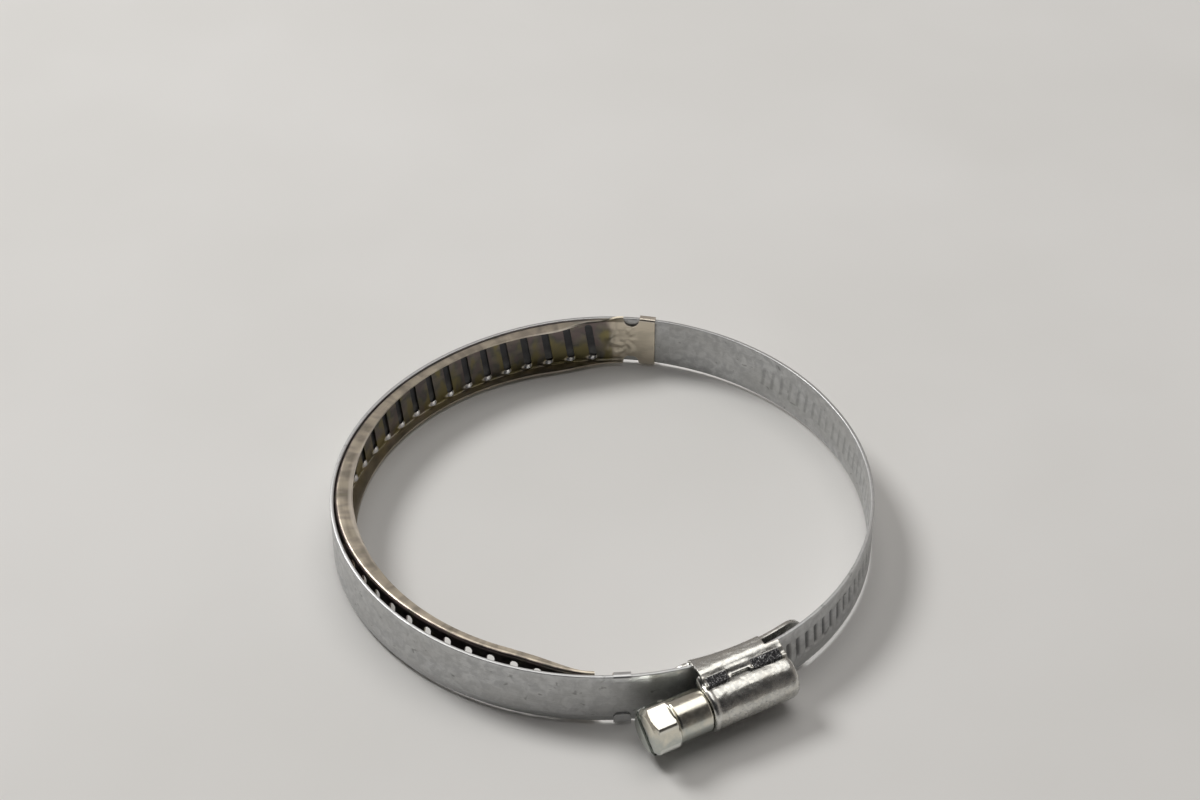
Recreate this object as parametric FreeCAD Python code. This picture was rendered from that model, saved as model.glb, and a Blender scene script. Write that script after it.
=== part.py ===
"""Worm-drive hose clamp with a spring liner, 85 mm across the band when fully open.

Units are millimetres. The hoop axis is Z, the hoop centre is the origin and the
worm housing is at the -Y side. The screw head points to -X. Azimuths are degrees
anticlockwise from +X. The band runs clockwise from the housing, round the -X, +Y
and +X sides, and comes back to the housing as the threaded tail, which rides
TAIL_LIFT further out so that it can pass over the anchored end.

The band and the liner are each one strip on the real object. They are cut here
into short curved sections with a hair gap, so that the loop can close up as the
screw draws the tail in.
"""
import FreeCAD
import Part
import math
import os

V = FreeCAD.Vector
Z_AXIS = V(0, 0, 1)

# Band
BAND_OUTER_R = 42.5
BAND_THICKNESS = 0.6
BAND_WIDTH = 9.0
BAND_INNER_R = BAND_OUTER_R - BAND_THICKNESS
BAND_MID_R = BAND_OUTER_R - BAND_THICKNESS / 2
TAIL_LIFT = 1.05
JOINT_GAP = 0.12
ANCHOR_END = 276.0
TAIL_END = 263.0
SEAM_AZ = 46.0
SEAM_GAP = 0.15
TAIL_CORNER = 2.2

# The free loop isn't round: it is flattened by up to FLAT_DEPTH over this arc
FLAT_DEPTH = 1.3
FLAT_START, FLAT_MIDDLE, FLAT_END = 46.0, 102.0, 172.0

# Thread pressed into the tail
PITCH = 2.0
MESH_R = 42.4
PITCH_DEG = math.degrees(PITCH / MESH_R)
GROOVE_DEPTH = 0.36
GROOVE_WIDTH = 1.15
GROOVE_LENGTH = 4.4
GROOVE_LAST_AZ = 385.0

# Housing frame: centred on the tail's arc and leaning outwards at the head
HOUSING_LEAN = 2.0
HOUSING_AZ = 270.0 + HOUSING_LEAN
SHELL_LEFT = -8.9
SHELL_RIGHT = 5.9
SHELL_WALL = 0.75
DOME_INNER_R = 2.85
DOME_OUTER_R = DOME_INNER_R + SHELL_WALL
DOME_CORNER = 1.0
END_WALL = 0.75
FLANGE_BASE = 42.65
FLANGE_HALF = 4.5

# Worm screw
SCREW_OFFSET = 45.0
THREAD_R = 2.75
ROOT_R = 2.2
CREST_WIDTH = 0.6
FLANK_SPREAD = 0.22
THREAD_LEFT = -6.5
THREAD_TURNS = 5.5
CORE_RIGHT = 5.0
NECK_R = 2.0
NECK_HOLE_R = 2.06
COLLAR_R = 3.4
COLLAR_RIGHT = SHELL_LEFT - 0.12
HEX_RIGHT = -14.6
HEX_LEFT = -18.8
HEX_FLATS = 7.0
HEX_CHAMFER = 0.6
SLOT_WIDTH = 1.1
SLOT_DEPTH = 1.7

# Saddle under the screw
SADDLE_INNER_R = 41.2
SADDLE_OUTER_R = 41.8
SADDLE_HALF_ANGLE = 17.0
SADDLE_LEAF_HALF = 4.3
WALL_INNER = 4.6
WALL_OUTER = 5.2
WALL_LEFT = -8.4
WALL_RIGHT = 3.0

# Spring liner
LINER_T = 0.3
WEB_GAP = 1.7
WEB_GAP_FAR = 0.08
WEB_NEAR, WEB_TOUCH = 212.0, 152.0
FLANGE_INNER_R = 38.8
FLANGE_START = 0.35
SEAT_GAP = 0.05
NEAR_END, NEAR_NOTCH, NEAR_FLANGE, NEAR_FULL = 248.5, 244.9, 241.2, 223.0
FAR_END, FAR_NOTCH, FAR_FLANGE, FAR_FULL = 49.4, 53.1, 56.8, 75.0
TAB_T = 0.25
TAB_LIP = 1.6
NOTCH_R = 1.3
LINER_GAP = 0.45

# Slots across the liner web
SLOT_FIRST = 234.1
SLOT_PITCH = 5.3
SLOT_COUNT = 33
LINER_SLOT_WIDTH = 1.25
LINER_SLOT_LENGTH = 7.0
LINER_SLOT_SLANT = 8.0

# The loop flexes at these slots on the liner side, and at these azimuths on the
# tail side
LINER_JOINTS = [1, 6, 11, 16, 21, 26, 31]
TAIL_JOINTS = [318.0, 346.0, 374.0]

TAIL_CENTRE = V(0, -TAIL_LIFT, 0)
HOOP_CENTRE = V(0, 0, 0)


def polar(radius, azimuth, z=0.0, centre=HOOP_CENTRE):
    a = math.radians(azimuth)
    return V(centre.x + radius * math.cos(a), centre.y + radius * math.sin(a), z)


def curve(radius, a0, a1, z, centre):
    """An arc for a fixed radius, or a spline for a radius that varies."""
    if callable(radius):
        steps = max(4, int(abs(a1 - a0) / 1.5))
        points = []
        for i in range(steps + 1):
            a = a0 + (a1 - a0) * i / steps
            points.append(polar(radius(a), a, z, centre))
        spline = Part.BSplineCurve()
        spline.interpolate(points)
        return spline.toShape()
    mid = (a0 + a1) / 2
    ends = [polar(radius, a, z, centre) for a in (a0, mid, a1)]
    return Part.Arc(*ends).toShape()


def strip(outer, inner, a0, a1, z0, z1, centre=HOOP_CENTRE):
    """A curved strip between two radii, two azimuths and two heights."""
    top = curve(outer, a0, a1, z0, centre)
    low = curve(inner, a0, a1, z0, centre)
    first = Part.makeLine(low.Vertexes[0].Point, top.Vertexes[0].Point)
    last = Part.makeLine(low.Vertexes[-1].Point, top.Vertexes[-1].Point)
    wire = Part.Wire(Part.__sortEdges__([top, last, low, first]))
    return Part.Face(wire).extrude(V(0, 0, z1 - z0))


def smooth(t):
    t = min(1.0, max(0.0, t))
    return t * t * (3 - 2 * t)


def flattening(azimuth):
    """How far the free loop lies inside the round hoop, in mm."""
    reach = FLAT_MIDDLE - FLAT_START if azimuth < FLAT_MIDDLE else FLAT_END - FLAT_MIDDLE
    t = min(1.0, abs(azimuth - FLAT_MIDDLE) / reach)
    return FLAT_DEPTH * math.cos(math.pi / 2 * t) ** 2


def band_outer(azimuth):
    return BAND_OUTER_R - flattening(azimuth)


def band_inner(azimuth):
    return BAND_INNER_R - flattening(azimuth)


def gap_angle(gap, radius):
    return math.degrees(gap / radius)


def rounded_slot(width, length, depth):
    """A rounded slot prism, long along Z, centred on the origin, going along X."""
    r = width / 2
    h = length / 2 - r
    top = Part.Arc(V(0, r, h), V(0, 0, h + r), V(0, -r, h)).toShape()
    low = Part.Arc(V(0, -r, -h), V(0, 0, -h - r), V(0, r, -h)).toShape()
    left = Part.makeLine(V(0, -r, h), V(0, -r, -h))
    right = Part.makeLine(V(0, r, -h), V(0, r, h))
    face = Part.Face(Part.Wire([top, left, low, right]))
    prism = face.extrude(V(depth, 0, 0))
    prism.translate(V(-depth / 2, 0, 0))
    return prism


def placed_on_arc(shape, radius, azimuth, centre=HOOP_CENTRE):
    copy = shape.copy()
    copy.translate(V(radius, 0, 0))
    copy.rotate(HOOP_CENTRE, Z_AXIS, azimuth)
    copy.translate(centre)
    return copy


def joint_azimuth(slot):
    return SLOT_FIRST - SLOT_PITCH * slot


# Band -----------------------------------------------------------------------

def grooves(a0, a1, centre):
    """Slanted thread grooves pressed into the outer face between two azimuths."""
    slant = math.degrees(math.atan(PITCH / (2 * math.pi * THREAD_R)))
    tool = rounded_slot(GROOVE_WIDTH, GROOVE_LENGTH, 1.0)
    tool.rotate(HOOP_CENTRE, V(1, 0, 0), -slant)
    first = HOUSING_AZ - 3 * PITCH_DEG
    cuts = []
    index = 0
    while True:
        azimuth = first + index * PITCH_DEG
        index += 1
        if azimuth > min(a1, GROOVE_LAST_AZ) - 1.1:
            break
        if azimuth > a0 + 1.1:
            radius = BAND_OUTER_R - GROOVE_DEPTH + 0.5
            cuts.append(placed_on_arc(tool, radius, azimuth, centre))
    return cuts


def band_piece(a0, a1, centre=HOOP_CENTRE, gap0=JOINT_GAP, gap1=JOINT_GAP):
    """A band section from a0 up to a1, short of each joint by half its gap."""
    lo = a0 + gap_angle(gap0, BAND_MID_R) / 2
    hi = a1 - gap_angle(gap1, BAND_MID_R) / 2
    half = BAND_WIDTH / 2
    if FLAT_START <= a0 < FLAT_END:
        return strip(band_outer, band_inner, lo, hi, -half, half, centre)
    return strip(BAND_OUTER_R, BAND_INNER_R, lo, hi, -half, half, centre)


def rounded_end(piece, azimuth, centre):
    """Round the two corners of a strip end that points to falling azimuth."""
    reach = gap_angle(TAIL_CORNER, BAND_MID_R)
    for side in (1, -1):
        z_edge = side * BAND_WIDTH / 2
        z_round = z_edge - side * TAIL_CORNER
        corner = strip(BAND_OUTER_R + 1, BAND_INNER_R - 1, azimuth - 1, azimuth + reach,
                       min(z_edge, z_round), max(z_edge, z_round), centre)
        axis = polar(1, azimuth + reach) - HOOP_CENTRE
        base = polar(BAND_INNER_R - 2, azimuth + reach, z_round, centre)
        corner = corner.cut(Part.makeCylinder(TAIL_CORNER, 6, base, axis))
        piece = piece.cut(corner)
    return piece


def band_parts():
    parts = {}
    joints = [joint_azimuth(k) for k in LINER_JOINTS]
    parts["band_anchored_end"] = band_piece(joints[0], ANCHOR_END, gap1=0)
    for i in range(len(joints) - 1):
        parts["band_plain_%d" % (i + 1)] = band_piece(joints[i + 1], joints[i])
    parts["band_plain_%d" % len(joints)] = band_piece(SEAM_AZ, joints[-1], gap0=SEAM_GAP)

    tail = band_piece(TAIL_END, TAIL_JOINTS[0], TAIL_CENTRE, gap0=0)
    tail = rounded_end(tail, TAIL_END, TAIL_CENTRE)
    tail = tail.cut(Part.makeCompound(grooves(TAIL_END, TAIL_JOINTS[0], TAIL_CENTRE)))
    parts["band_threaded_tail"] = tail

    side = band_piece(TAIL_JOINTS[0], TAIL_JOINTS[1], TAIL_CENTRE)
    side = side.cut(Part.makeCompound(grooves(TAIL_JOINTS[0], TAIL_JOINTS[1], TAIL_CENTRE)))
    parts["band_threaded_1"] = side

    lower = band_piece(TAIL_JOINTS[1], 360.0, TAIL_CENTRE, gap1=0)
    upper = band_piece(360.0, TAIL_JOINTS[2], gap0=0)
    shift = Part.makeBox(BAND_THICKNESS, TAIL_LIFT, BAND_WIDTH,
                         V(BAND_INNER_R, -TAIL_LIFT, -BAND_WIDTH / 2))
    side = lower.fuse([shift, upper]).removeSplitter()
    side = side.cut(Part.makeCompound(grooves(TAIL_JOINTS[1], 361.0, TAIL_CENTRE)))
    side = side.cut(Part.makeCompound(grooves(362.0, TAIL_JOINTS[2], HOOP_CENTRE)))
    parts["band_threaded_2"] = side

    side = band_piece(TAIL_JOINTS[2], 360.0 + SEAM_AZ, gap1=SEAM_GAP)
    side = side.cut(Part.makeCompound(grooves(TAIL_JOINTS[2], GROOVE_LAST_AZ, HOOP_CENTRE)))
    parts["band_threaded_3"] = side
    return parts


# Spring liner ---------------------------------------------------------------

def ramp(azimuth):
    """0 where the liner lies flat on the band, 1 where the channel is full depth."""
    if azimuth > NEAR_FULL:
        return smooth((NEAR_FLANGE - azimuth) / (NEAR_FLANGE - NEAR_FULL))
    if azimuth < FAR_FULL:
        return smooth((azimuth - FAR_FLANGE) / (FAR_FULL - FAR_FLANGE))
    return 1.0


def web_outer(azimuth):
    """The web stands off the band on the near side and lies on it on the far side."""
    away = smooth((azimuth - WEB_TOUCH) / (WEB_NEAR - WEB_TOUCH))
    full = WEB_GAP_FAR + (WEB_GAP - WEB_GAP_FAR) * away
    return band_inner(azimuth) - SEAT_GAP - (full - SEAT_GAP) * ramp(azimuth)


def web_inner(azimuth):
    return web_outer(azimuth) - LINER_T


def seat_radius(flange):
    """Outer radius of the flat end that starts at this azimuth."""
    return band_inner(flange) - SEAT_GAP


def flange_inner(azimuth):
    flange = NEAR_FLANGE if azimuth > FLAT_END else FAR_FLANGE
    start = seat_radius(flange) - LINER_T - FLANGE_START
    return start + (FLANGE_INNER_R - start) * ramp(azimuth)


def channel(a0, a1, ramped):
    """The web and both flanges between two azimuths."""
    half = BAND_WIDTH / 2
    edge = flange_inner if ramped else FLANGE_INNER_R
    web = strip(web_outer, web_inner, a0, a1, -half, half)
    upper = strip(web_outer, edge, a0, a1, half - LINER_T, half)
    lower = strip(web_outer, edge, a0, a1, -half, -half + LINER_T)
    return [web, upper, lower]


def flat_end(end, notch, flange):
    """The flat liner end, with its notches and the tabs folded over the band."""
    half = BAND_WIDTH / 2
    a0, a1 = min(end, flange), max(end, flange)
    seat = seat_radius(flange)
    plate = strip(seat, seat - LINER_T, a0, a1, -half, half)
    middle = (notch + flange) / 2
    solids = [plate]
    t0, t1 = min(end, notch), max(end, notch)
    lip_r = BAND_OUTER_R + 0.05
    for side in (1, -1):
        z_in = side * (half - TAB_LIP)
        z_edge = side * (half + 0.05)
        z_out = side * (half + 0.05 + TAB_T)
        across = strip(lip_r + TAB_T, seat - LINER_T, t0, t1,
                       min(z_edge, z_out), max(z_edge, z_out))
        rise = strip(seat, seat - LINER_T, t0, t1,
                     min(side * half, z_out), max(side * half, z_out))
        lip = strip(lip_r + TAB_T, lip_r, t0, t1, min(z_in, z_out), max(z_in, z_out))
        solids += [across, rise, lip]
    body = solids[0].fuse(solids[1:])
    for side in (1, -1):
        base = polar(seat - 1.5, middle, side * half)
        axis = polar(1, middle)
        body = body.cut(Part.makeCylinder(NOTCH_R, 3.0, base, axis))
    return body


def liner_slots(a0, a1):
    tool = rounded_slot(LINER_SLOT_WIDTH, LINER_SLOT_LENGTH, 3.0)
    tool.rotate(HOOP_CENTRE, V(1, 0, 0), LINER_SLOT_SLANT)
    cuts = []
    for k in range(SLOT_COUNT):
        azimuth = joint_azimuth(k)
        if a0 - 1 < azimuth < a1 + 1:
            radius = (web_outer(azimuth) + web_inner(azimuth)) / 2
            cut = placed_on_arc(tool, radius, azimuth)
            cuts.append(cut)
    return cuts


def liner_piece(a0, a1, near=False, far=False):
    """A liner section from a0 up to a1, short of each joint by half its gap."""
    half_gap = gap_angle(LINER_GAP, FLANGE_INNER_R) / 2
    lo = FAR_FLANGE if far else a0 + half_gap
    hi = NEAR_FLANGE if near else a1 - half_gap
    solids = []
    stops = [lo] + [a for a in (FAR_FULL, NEAR_FULL) if lo < a < hi] + [hi]
    for s0, s1 in zip(stops, stops[1:]):
        ramped = s0 >= NEAR_FULL or s1 <= FAR_FULL
        solids += channel(s0, s1, ramped)
    body = solids[0].fuse(solids[1:])
    if near:
        body = body.fuse(flat_end(NEAR_END, NEAR_NOTCH, NEAR_FLANGE))
    if far:
        body = body.fuse(flat_end(FAR_END, FAR_NOTCH, FAR_FLANGE))
    body = body.cut(Part.makeCompound(liner_slots(lo, hi)))
    return body


def liner_parts():
    parts = {}
    joints = [joint_azimuth(k) for k in LINER_JOINTS]
    parts["liner_near_end"] = liner_piece(joints[0], NEAR_END, near=True)
    for i in range(len(joints) - 1):
        parts["liner_channel_%d" % (i + 1)] = liner_piece(joints[i + 1], joints[i])
    parts["liner_far_end"] = liner_piece(FAR_END, joints[-1], far=True)
    return parts


# Housing, in a frame whose origin is the centre of the tail's arc -------------

def into_place(shape):
    """Lean the housing frame outwards at the head and move it to the tail centre."""
    shape.rotate(HOOP_CENTRE, Z_AXIS, HOUSING_LEAN)
    shape.translate(TAIL_CENTRE)
    return shape


def section(points, x0, x1):
    """A prism along X from (z, distance from centre) points."""
    corners = [V(x0, -d, z) for z, d in points]
    wire = Part.makePolygon(corners + [corners[0]])
    return Part.Face(wire).extrude(V(x1 - x0, 0, 0))


def mirrored(points):
    return [(-z, d) for z, d in points]


def spun(profile):
    """Revolve (x, radius) points about the screw axis."""
    corners = [V(x, -SCREW_OFFSET - r, 0) for x, r in profile]
    wire = Part.makePolygon(corners + [corners[0]])
    face = Part.Face(wire)
    return face.revolve(V(0, -SCREW_OFFSET, 0), V(1, 0, 0), 360)


def rod(radius, x0, x1):
    return Part.makeCylinder(radius, x1 - x0, V(x0, -SCREW_OFFSET, 0), V(1, 0, 0))


def dome_profile():
    """Half outline of the dome with rounded ends."""
    points = [(SHELL_LEFT, 0)]
    steps = 5
    for i in range(steps + 1):
        a = math.radians(90 * i / steps)
        points.append((SHELL_LEFT + 0.5 * (1 - math.cos(a)),
                       DOME_OUTER_R - 0.5 * (1 - math.sin(a))))
    for i in range(steps + 1):
        a = math.radians(90 - 90 * i / steps)
        points.append((SHELL_RIGHT - DOME_CORNER * (1 - math.cos(a)),
                       DOME_OUTER_R - DOME_CORNER * (1 - math.sin(a))))
    points.append((SHELL_RIGHT, 0))
    return points


def housing_shell():
    dome = spun(dome_profile())
    r = DOME_OUTER_R
    skirt = section([(-r, FLANGE_BASE), (r, FLANGE_BASE), (r, SCREW_OFFSET),
                     (-r, SCREW_OFFSET)], SHELL_LEFT + 0.3, SHELL_RIGHT - 0.3)
    below = section([(-9, 30), (9, 30), (9, FLANGE_BASE), (-9, FLANGE_BASE)], -12, 12)
    flange = [(2.9, FLANGE_BASE), (FLANGE_HALF, FLANGE_BASE), (4.4, 42.9), (4.1, 43.25),
              (r, 43.95), (2.9, 43.95)]
    solids = [skirt]
    solids.append(section(flange, SHELL_LEFT + 0.3, SHELL_RIGHT - 0.3))
    solids.append(section(mirrored(flange), SHELL_LEFT + 0.3, SHELL_RIGHT - 0.3))
    body = dome.cut(below).fuse(solids)
    left, right = SHELL_LEFT + END_WALL, SHELL_RIGHT - END_WALL
    i = DOME_INNER_R
    bore = rod(i, left, right)
    slab = section([(-i, 40), (i, 40), (i, SCREW_OFFSET), (-i, SCREW_OFFSET)], left, right)
    neck = rod(NECK_HOLE_R, SHELL_LEFT - 1, left + 1)
    mouth = section([(-1.2, 40), (1.2, 40), (1.2, 44), (-1.2, 44)], SHELL_LEFT - 1, left + 1)
    body = body.cut(Part.makeCompound([bore, slab]).copy())
    body = body.cut(neck).cut(mouth)
    return into_place(body.removeSplitter())


def hem_points(edge):
    """Side wall folded over the shell flange, ending at the given distance."""
    return [(WALL_OUTER, 40.3), (WALL_OUTER, 41.75), (5.0, 42.6), (4.7, 43.3),
            (3.98, edge), (3.67, edge - 0.2), (4.3, 43.25), (WALL_INNER, 42.7),
            (WALL_INNER, 40.3)]


def saddle():
    """Leaf under the band, with side walls crimped over the shell flange."""
    half = WALL_OUTER
    a0 = 270 - SADDLE_HALF_ANGLE
    a1 = 270 + SADDLE_HALF_ANGLE
    plate = strip(SADDLE_OUTER_R, SADDLE_INNER_R, a0, a1, -SADDLE_LEAF_HALF,
                  SADDLE_LEAF_HALF)
    solids = []
    wide0 = 270 + math.degrees((WALL_LEFT + 1.6) / BAND_MID_R)
    wide1 = 270 + math.degrees((WALL_RIGHT + 1.6) / BAND_MID_R)
    solids.append(strip(SADDLE_OUTER_R, SADDLE_INNER_R, wide0, wide1, -half, half))
    body = plate.fuse(solids)
    for azimuth, turn in ((a0, 1), (a1, -1)):
        body = leaf_end(body, azimuth, turn)
    walls = []
    for points in (hem_points(44.3), mirrored(hem_points(44.3))):
        walls.append(section(points, WALL_LEFT, WALL_RIGHT))
    upper = [(5.0, 42.6), (4.7, 43.3), (3.98, 44.3), (3.67, 44.1), (4.3, 43.25), (4.6, 42.7)]
    for points in (upper, mirrored(upper)):
        walls.append(section(points, WALL_RIGHT - 0.2, SHELL_RIGHT - 0.6))
    tooth = [(4.12, 44.1), (3.96, 44.75), (3.67, 44.85), (3.67, 44.1)]
    for points in (tooth, mirrored(tooth)):
        walls.append(section(points, WALL_LEFT, WALL_LEFT + 4.4))
        walls.append(section(points, -0.9, SHELL_RIGHT - 0.6))
    walls = [into_place(w) for w in walls]
    trim = Part.makeCylinder(SADDLE_INNER_R, 20, V(0, 0, -10), Z_AXIS)
    body = body.fuse(walls).cut(trim)
    return body.removeSplitter()


def leaf_end(body, azimuth, turn):
    """Round one end of the leaf to a half oval."""
    z_half = SADDLE_LEAF_HALF
    reach = 4.0
    points = []
    steps = 12
    for i in range(steps + 1):
        a = math.radians(-90 + 180 * i / steps)
        points.append((reach * (1 - math.cos(a)), z_half * math.sin(a)))
    edge = [V(0, x, z) for x, z in points]
    back = [V(0, -1.0, z_half), V(0, -1.0, -z_half)]
    corners = edge + back
    if turn < 0:
        corners = [V(0, -p.y, p.z) for p in corners]
    wire = Part.makePolygon(corners + [corners[0]])
    tool = Part.Face(wire).extrude(V(3, 0, 0))
    tool.translate(V(-1.5, 0, 0))
    return body.cut(placed_on_arc(tool, SADDLE_OUTER_R - 0.3, azimuth))


def worm_screw():
    core = spun([(HEX_RIGHT, 0), (HEX_RIGHT, COLLAR_R - 0.3), (HEX_RIGHT + 0.3, COLLAR_R),
                 (COLLAR_RIGHT - 0.2, COLLAR_R), (COLLAR_RIGHT, COLLAR_R - 0.2),
                 (COLLAR_RIGHT, NECK_R), (SHELL_LEFT + END_WALL + 0.25, NECK_R),
                 (SHELL_LEFT + END_WALL + 0.45, ROOT_R), (CORE_RIGHT - 0.5, ROOT_R),
                 (CORE_RIGHT, ROOT_R - 0.5), (CORE_RIGHT, 0)])
    apothem = HEX_FLATS / 2
    corner_r = apothem / math.cos(math.radians(30))
    corners = []
    for i in range(6):
        a = math.radians(60 * i + 15)
        corners.append(V(HEX_LEFT, -SCREW_OFFSET + corner_r * math.cos(a),
                         corner_r * math.sin(a)))
    head = Part.Face(Part.makePolygon(corners + [corners[0]]))
    head = head.extrude(V(HEX_RIGHT - HEX_LEFT, 0, 0))
    limit = spun([(HEX_LEFT, 0), (HEX_LEFT, apothem - 0.3), (HEX_LEFT + HEX_CHAMFER, corner_r),
                  (HEX_RIGHT - 0.3, corner_r), (HEX_RIGHT, apothem - 0.1), (HEX_RIGHT, 0)])
    head = head.common(limit)
    slot = Part.makeBox(SLOT_DEPTH + 1, 12, SLOT_WIDTH,
                        V(HEX_LEFT - 1, -SCREW_OFFSET - 6, -SLOT_WIDTH / 2))
    slot.rotate(V(0, -SCREW_OFFSET, 0), V(1, 0, 0), 40)
    head = head.cut(slot)
    body = core.fuse([head, worm_thread()])
    return into_place(body.removeSplitter())


def worm_thread():
    """Trapezoid thread; a crest faces the band a quarter pitch from THREAD_LEFT."""
    base_half = CREST_WIDTH / 2 + FLANK_SPREAD
    inner = ROOT_R - 0.15
    profile = Part.makePolygon([V(inner, 0, -base_half), V(THREAD_R, 0, -CREST_WIDTH / 2),
                                V(THREAD_R, 0, CREST_WIDTH / 2), V(inner, 0, base_half),
                                V(inner, 0, -base_half)])
    helix = Part.makeHelix(PITCH, PITCH * THREAD_TURNS, THREAD_R)
    thread = Part.Wire(helix).makePipeShell([profile], True, True)
    thread.rotate(HOOP_CENTRE, V(0, 1, 0), 90)
    thread.translate(V(THREAD_LEFT, -SCREW_OFFSET, 0))
    return thread


def main():
    os.makedirs("parts", exist_ok=True)
    parts = {"housing_shell": housing_shell(), "housing_saddle": saddle(),
             "worm_screw": worm_screw()}
    parts.update(band_parts())
    parts.update(liner_parts())
    for name, shape in parts.items():
        solids = shape.Solids
        print(name, len(solids), shape.isValid(), round(shape.Volume, 2))
        shape.exportStep("parts/%s.step" % name)


main()
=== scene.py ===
import math

import bmesh
import bpy
from mathutils import Matrix, Vector, noise


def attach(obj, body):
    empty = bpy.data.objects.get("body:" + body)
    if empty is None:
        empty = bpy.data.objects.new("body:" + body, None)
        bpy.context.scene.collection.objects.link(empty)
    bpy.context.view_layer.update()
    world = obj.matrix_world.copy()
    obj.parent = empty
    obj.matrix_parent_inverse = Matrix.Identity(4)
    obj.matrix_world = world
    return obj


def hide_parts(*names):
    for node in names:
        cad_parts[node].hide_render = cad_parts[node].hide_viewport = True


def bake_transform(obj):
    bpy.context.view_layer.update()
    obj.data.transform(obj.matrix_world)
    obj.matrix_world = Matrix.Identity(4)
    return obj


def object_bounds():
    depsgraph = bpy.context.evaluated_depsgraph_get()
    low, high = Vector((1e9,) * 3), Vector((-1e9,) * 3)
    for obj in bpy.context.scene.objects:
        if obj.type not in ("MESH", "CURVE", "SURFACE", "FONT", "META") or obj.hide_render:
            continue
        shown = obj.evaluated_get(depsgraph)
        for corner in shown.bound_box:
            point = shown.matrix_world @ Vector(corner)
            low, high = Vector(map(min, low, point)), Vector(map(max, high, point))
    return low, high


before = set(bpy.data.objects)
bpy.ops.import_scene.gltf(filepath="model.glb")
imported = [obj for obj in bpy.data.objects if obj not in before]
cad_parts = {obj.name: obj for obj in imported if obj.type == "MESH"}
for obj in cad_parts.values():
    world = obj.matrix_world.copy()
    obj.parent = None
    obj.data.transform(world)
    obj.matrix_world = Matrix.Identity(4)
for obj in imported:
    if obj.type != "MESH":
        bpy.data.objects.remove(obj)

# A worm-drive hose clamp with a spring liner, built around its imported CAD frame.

cad_low, cad_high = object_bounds()

MM = 0.001

# Band, in mm and degrees, as in the CAD
BAND_OUTER_R = 42.5
BAND_THICKNESS = 0.6
BAND_MID_R = BAND_OUTER_R - BAND_THICKNESS / 2
BAND_INNER_R = BAND_OUTER_R - BAND_THICKNESS
BAND_HALF = 4.5
BAND_EDGE = 0.16
TAIL_LIFT = 1.05
TAIL_CORNER = 2.2
ANCHOR_END = 276.0
TAIL_END = 263.0
SEAM_AZ = 46.0
FLAT_DEPTH = 1.3
FLAT_START, FLAT_MIDDLE, FLAT_END = 46.0, 102.0, 172.0
THREADED_STEP, PLAIN_STEP = 0.17, 0.5

# Thread grooves: the floor and the land are distances from a groove's middle line
PITCH = 2.0
MESH_R = 42.4
GROOVE_FIRST = 263.89
GROOVE_LAST = 385.5
GROOVE_FADE = 4.0
GROOVE_FREE_END = 0.6
GROOVE_FLOOR, GROOVE_LAND = 0.2, 0.6
GROOVE_DEPTH, BACK_DEPTH = 0.36, 0.07
# How dark the groove floors and the inner face's ticks are painted, as dirt and painted shade
GROOVE_SHADE_AND_DIRT, BACK_SHADE_AND_DIRT = 0.62, 0.36
GROOVE_HALF_LENGTH = 2.2
GROOVE_SLANT = math.tan(math.radians(6.6))

# Painted shade on the band's inner face behind the liner: where it begins and ends, and its
# share low down
LINER_SHADOW_FAR, LINER_SHADOW_FAR_FULL = 57.5, 60.0
LINER_SHADOW_NEAR_FULL, LINER_SHADOW_NEAR = 232.0, 240.0
LINER_SHADOW_LOW = 0.62

# Liner, in mm and degrees, as in the CAD
LINER_T = 0.3
FLANGE_INNER_R = 38.8
WEB_GAP, WEB_GAP_FAR, SEAT_GAP = 1.7, 0.08, 0.05
WEB_NEAR, WEB_TOUCH = 212.0, 152.0
NEAR_END, NEAR_NOTCH, NEAR_FLANGE, NEAR_FULL = 248.5, 244.9, 241.2, 223.0
FAR_END, FAR_NOTCH, FAR_FLANGE, FAR_FULL = 49.4, 53.1, 56.8, 75.0
NOTCH_R = 1.35
SLOT_FIRST, SLOT_PITCH, SLOT_COUNT = 234.1, 5.3, 33
SLOT_WIDTH, SLOT_LENGTH, SLOT_SLANT = 1.3, 7.0, 8.0

# The liner's bend, flanges and tabs
WEB_FLAT = 3.8
LINER_BEND = 0.42
BEND_STEPS, FLANGE_STEPS = 4, 4
BEND_STRIP = 0.2
NEAR_LEAD = 3.0
FAR_UPPER_START, FAR_LOWER_START = 1.7, 0.7
LEAN_OUT, LEAN_LENGTH = 30.0, 7.0
STAND_UP, STAND_LENGTH = 44.0, 6.0
CREASE_DEPTH = 0.5
TAB_LIP_TOP, TAB_LIP_BOTTOM = 0.75, 1.75
TAB_T, TAB_GAP, TAB_BEND, TAB_CORNER = 0.25, 0.05, 0.22, 0.7
TAB_SIDE_GAP = 0.06

# The mesh round each slot, and the small ridge below the slot's lower end
CELL_COUNT = 8
RIDGE_FROM, RIDGE_FULL = 3.1, 3.48
RIDGE_HEIGHT = 0.34

# Masks painted on the liner: 1 is rubbed, 2 is bare grey lightened as a painted highlight, 3 is
# a painted glint
RUBBED, BARE_SHEEN, GLINT = 1.0, 2.0, 3.0
# Painted shade: the share of the web's darkening kept on the upper and lower flanges and on the
# tabs' outer faces, and where the web's darkening begins and ends
UPPER_SHADE, LOWER_SHADE, TAB_SHADE = 0.3, 0.1, 0.3
SHADE_FAR, SHADE_FAR_FULL = 55.5, 65.5
SHADE_NEAR_FULL, SHADE_NEAR = 236.0, 243.0

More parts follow.
